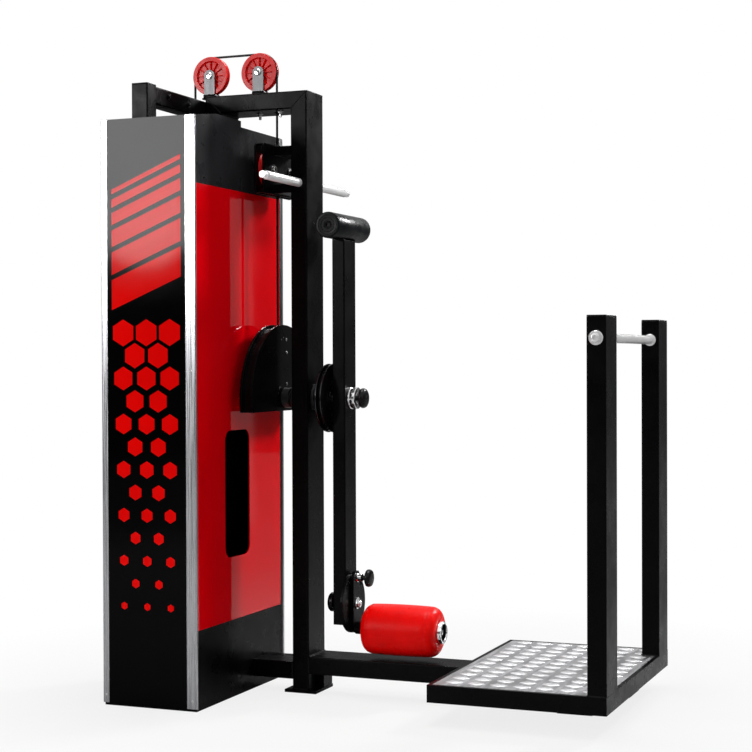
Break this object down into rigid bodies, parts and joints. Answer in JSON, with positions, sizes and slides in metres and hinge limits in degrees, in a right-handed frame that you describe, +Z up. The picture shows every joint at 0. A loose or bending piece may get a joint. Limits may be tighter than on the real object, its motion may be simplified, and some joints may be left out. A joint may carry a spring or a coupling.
{
  "type": "hip adductor abductor machine",
  "caption": "Standing hip trainer: weight stack tower, upright frame, pivoting padded roller arm and raised step platform with a hand bar.",
  "frame": {"origin": "on the floor under the middle of the main post, at the underside of its foot plate", "axes": "+X from the weight tower to the platform, +Y from the front panel to the back, +Z up; the lever pivot runs along X"},
  "size_m": [1.67, 0.975, 2.2003],
  "materials": {
    "black_paint": "satin",
    "grey_sheet": "satin",
    "gloss_black": "gloss",
    "red_acrylic": "gloss",
    "satin_aluminium": "satin",
    "tread_aluminium": "satin",
    "chrome": "mirror",
    "cast_iron": "matte",
    "rubber": "matte",
    "cable_coat": "satin",
    "red_vinyl": "gloss",
    "red_plastic": "gloss",
    "black_plastic": "satin"
  },
  "bodies": {
    "frame": {"main_post": "black_paint", "top_beam": "black_paint", "stack_side_post": "black_paint", "base_beam": "black_paint", "link_beam": "black_paint", "main_foot": "black_paint", "platform_spine": "black_paint", "platform_frame": "black_paint", "tread_plate": "tread_aluminium", "platform_front_post": "black_paint", "platform_rear_post": "black_paint", "handle_bar": "chrome", "handle_bolt": "chrome", "grip_front": "chrome", "grip_rear": "chrome", "tower_base": "black_paint", "front_panel": "gloss_black", "back_cover": "black_paint", "kick_panel": "black_paint", "acrylic_panel": "red_acrylic", "upper_side_plate": "grey_sheet", "profile_front_left": "satin_aluminium", "profile_front_right": "satin_aluminium", "profile_rear_right": "satin_aluminium", "tower_front_frame": "black_paint", "stack_stand": "black_paint", "stack_bumper": "rubber", "guide_rod_front": "chrome", "guide_rod_rear": "chrome", "rod_bracket": "black_paint", "fixed_plates": "cast_iron", "pulley_bracket_left": "grey_sheet", "pulley_bracket_right": "grey_sheet", "pulley_axle_left": "chrome", "pulley_axle_right": "chrome", "guide_housing": "black_paint", "cable": "cable_coat", "cable_stack": "cable_coat", "bearing_left": "cast_iron", "bearing_right": "cast_iron"},
    "lever": {"pivot_shaft": "chrome", "cam": "black_paint", "index_disc": "black_paint"},
    "arm": {"lever_arm": "black_paint", "counterweight": "black_paint", "arm_hub": "chrome", "lower_disc": "black_paint", "lower_pivot_bolt": "black_plastic"},
    "arm_knob": {"pull_knob": "black_plastic"},
    "roller_carrier": {"roller_bracket": "black_paint"},
    "roller_plunger": {"plunger": "black_plastic"},
    "roller": {"roller": "red_vinyl", "roller_cap": "chrome"},
    "stack": {"lifted_plates": "cast_iron", "selector_rod": "chrome"},
    "stack_pin": {"selector_pin": "red_plastic"},
    "top_pulley_left": {"pulley_left": "red_plastic"},
    "top_pulley_right": {"pulley_right": "red_plastic"},
    "guide_front": {"guide_pulley_front": "red_plastic"},
    "guide_rear": {"guide_pulley_rear": "red_plastic"}
  },
  "joints": [
    {"name": "lever_swing", "type": "hinge", "parent": "frame", "child": "lever", "pos_m": [0, 0, 1.004], "axis": [1, 0, 0], "range_deg": [0, 60]},
    {"name": "arm_index", "type": "hinge", "parent": "lever", "child": "arm", "pos_m": [0.136, 0, 1.004], "axis": [1, 0, 0], "range_deg": [-60, 60]},
    {"name": "arm_knob_pull", "type": "slide", "parent": "arm", "child": "arm_knob", "axis": [1, 0, 0], "range_m": [0, 0.01], "stiffness_N_per_m": 600, "springref_m": -0.004},
    {"name": "roller_index", "type": "hinge", "parent": "arm", "child": "roller_carrier", "pos_m": [0.177, 0, 0.306], "axis": [1, 0, 0], "range_deg": [-45, 45]},
    {"name": "roller_plunger_pull", "type": "slide", "parent": "roller_carrier", "child": "roller_plunger", "axis": [1, 0, 0], "range_m": [0, 0.01], "stiffness_N_per_m": 600, "springref_m": -0.004},
    {"name": "roller_spin", "type": "hinge", "parent": "roller_carrier", "child": "roller", "pos_m": [0.347, 0, 0.223], "axis": [1, 0, 0], "continuous": true},
    {"name": "stack_lift", "type": "slide", "parent": "frame", "child": "stack", "axis": [0, 0, 1], "range_m": [0, 0.16], "deforming": ["cable_stack"]},
    {"name": "pin_pull", "type": "slide", "parent": "stack", "child": "stack_pin", "axis": [0, -1, 0], "range_m": [0, 0.18]},
    {"name": "pulley_left_spin", "type": "hinge", "parent": "frame", "child": "top_pulley_left", "pos_m": [-0.366, 0, 2.132], "axis": [0, 1, 0], "range_deg": [0, 145]},
    {"name": "pulley_right_spin", "type": "hinge", "parent": "frame", "child": "top_pulley_right", "pos_m": [-0.177, 0, 2.132], "axis": [0, 1, 0], "range_deg": [0, 145]},
    {"name": "guide_front_spin", "type": "hinge", "parent": "frame", "child": "guide_front", "pos_m": [-0.113, -0.068, 1.785], "axis": [1, 0, 0], "continuous": true},
    {"name": "guide_rear_spin", "type": "hinge", "parent": "frame", "child": "guide_rear", "pos_m": [-0.113, 0.068, 1.785], "axis": [1, 0, 0], "continuous": true}
  ],
  "couplings": [
    {"joint": "stack_lift", "follows": "lever_swing", "m_per_rad": 0.15},
    {"joint": "pulley_left_spin", "follows": "lever_swing", "ratio": 2.3328},
    {"joint": "pulley_right_spin", "follows": "lever_swing", "ratio": 2.3328}
  ]
}
